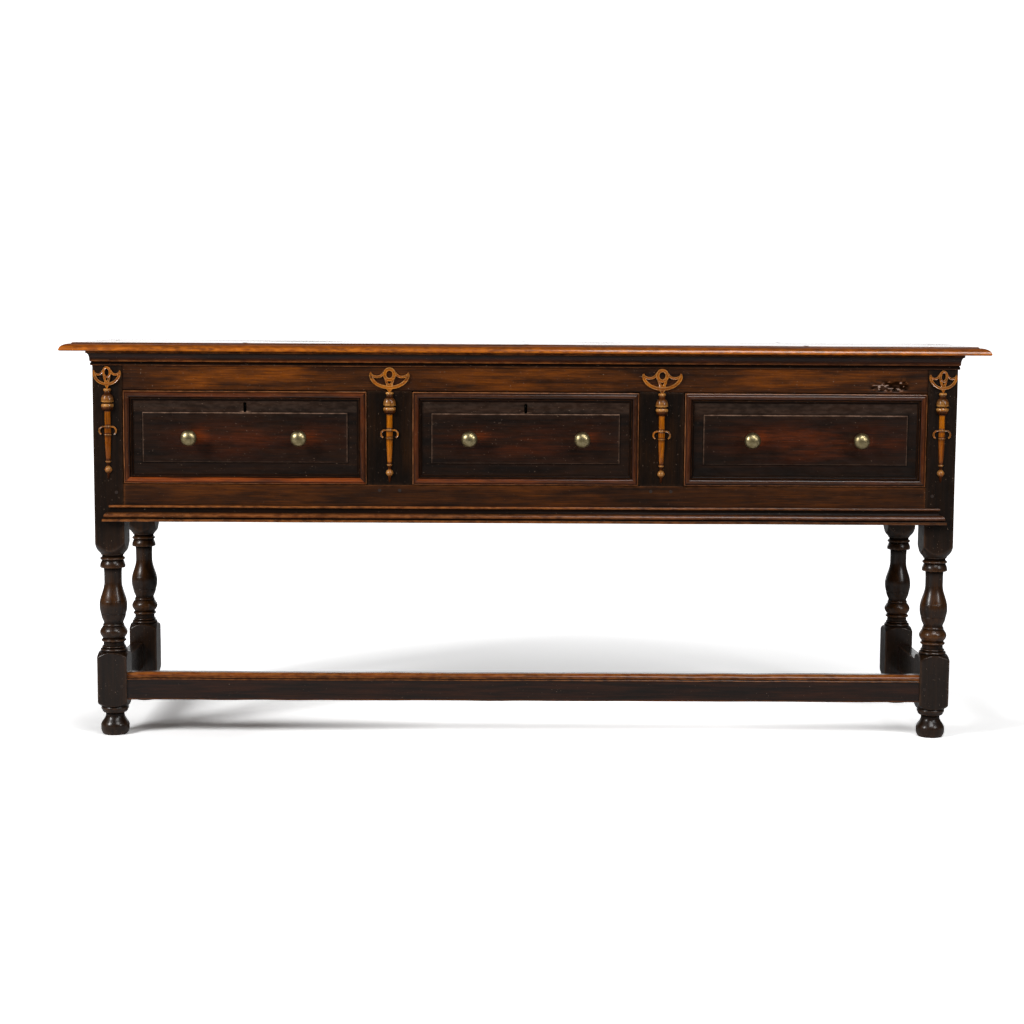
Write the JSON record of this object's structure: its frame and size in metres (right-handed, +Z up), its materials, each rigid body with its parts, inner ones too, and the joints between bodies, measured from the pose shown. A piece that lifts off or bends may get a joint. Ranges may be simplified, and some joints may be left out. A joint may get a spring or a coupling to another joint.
{
  "type": "dresser base",
  "caption": "Long joined oak dresser base with moulded drawers in a row, split-turned mounts, baluster-turned legs with square blocks and low stretchers.",
  "frame": {"origin": "on the floor, below the middle of the whole dresser's box", "axes": "+Z up, +X along the front to the right as seen from the front, the drawer fronts face -Y"},
  "size_m": [1.926, 0.4736, 0.83],
  "materials": {
    "oak_top": "old waxed oak, warm orange brown",
    "oak_rail": "old waxed oak, mid brown with worn patches",
    "oak_dark": "old waxed oak, near black",
    "oak_front": "old waxed oak, dark with reddish streaks",
    "oak_moulding": "old waxed oak, worn on the ridges",
    "oak_inside": "dry unfinished oak",
    "mount_wood": "golden waxed hardwood",
    "brass": "aged brass, handled",
    "iron": "dull wrought iron"
  },
  "bodies": {
    "carcass": {"top_board_front": "oak_top", "top_board_rear": "oak_top", "front_leg_left": "oak_dark", "front_leg_right": "oak_dark", "rear_leg_left": "oak_dark", "rear_leg_right": "oak_dark", "front_top_rail": "oak_rail", "front_bottom_rail": "oak_rail", "front_muntin_left": "oak_dark", "front_muntin_right": "oak_dark", "rear_top_rail": "oak_rail", "rear_bottom_rail": "oak_rail", "rear_muntin_left": "oak_rail", "rear_muntin_right": "oak_rail", "side_top_rail_left": "oak_rail", "side_top_rail_right": "oak_rail", "side_bottom_rail_left": "oak_rail", "side_bottom_rail_right": "oak_rail", "side_panel_left": "oak_rail", "side_panel_right": "oak_rail", "rear_panel_left": "oak_rail", "rear_panel_middle": "oak_rail", "rear_panel_right": "oak_rail", "front_stretcher": "oak_rail", "side_stretcher_left": "oak_dark", "side_stretcher_right": "oak_dark", "cove_moulding": "oak_moulding", "base_moulding": "oak_moulding", "drawer_runners": "oak_inside", "stile_mount_left": "mount_wood", "stile_mount_right": "mount_wood", "muntin_mount_left": "mount_wood", "muntin_mount_right": "mount_wood", "oak_pegs": "oak_rail", "runner_nails": "iron"},
    "left_drawer": {"left_drawer_front": "oak_front", "left_drawer_side_left": "oak_inside", "left_drawer_side_right": "oak_inside", "left_drawer_back": "oak_inside", "left_drawer_bottom": "oak_inside", "left_drawer_mouldings": "oak_moulding", "left_drawer_knobs": "brass", "left_lock_case": "iron"},
    "middle_drawer": {"middle_drawer_front": "oak_front", "middle_drawer_side_left": "oak_inside", "middle_drawer_side_right": "oak_inside", "middle_drawer_back": "oak_inside", "middle_drawer_bottom": "oak_inside", "middle_drawer_mouldings": "oak_moulding", "middle_drawer_knobs": "brass", "middle_lock_case": "iron"},
    "right_drawer": {"right_drawer_front": "oak_front", "right_drawer_side_left": "oak_inside", "right_drawer_side_right": "oak_inside", "right_drawer_back": "oak_inside", "right_drawer_bottom": "oak_inside", "right_drawer_mouldings": "oak_moulding", "right_drawer_knobs": "brass"},
    "left_bolt": {"left_lock_bolt": "iron"},
    "middle_bolt": {"middle_lock_bolt": "iron"}
  },
  "joints": [
    {"name": "left_drawer_slide", "type": "slide", "parent": "carcass", "child": "left_drawer", "axis": [0, -1, 0], "range_m": [0, 0.3]},
    {"name": "middle_drawer_slide", "type": "slide", "parent": "carcass", "child": "middle_drawer", "axis": [0, -1, 0], "range_m": [0, 0.3]},
    {"name": "right_drawer_slide", "type": "slide", "parent": "carcass", "child": "right_drawer", "axis": [0, -1, 0], "range_m": [0, 0.3]},
    {"name": "left_bolt_slide", "type": "slide", "parent": "left_drawer", "child": "left_bolt", "axis": [0, 0, 1], "range_m": [0, 0.008]},
    {"name": "middle_bolt_slide", "type": "slide", "parent": "middle_drawer", "child": "middle_bolt", "axis": [0, 0, 1], "range_m": [0, 0.008]}
  ]
}
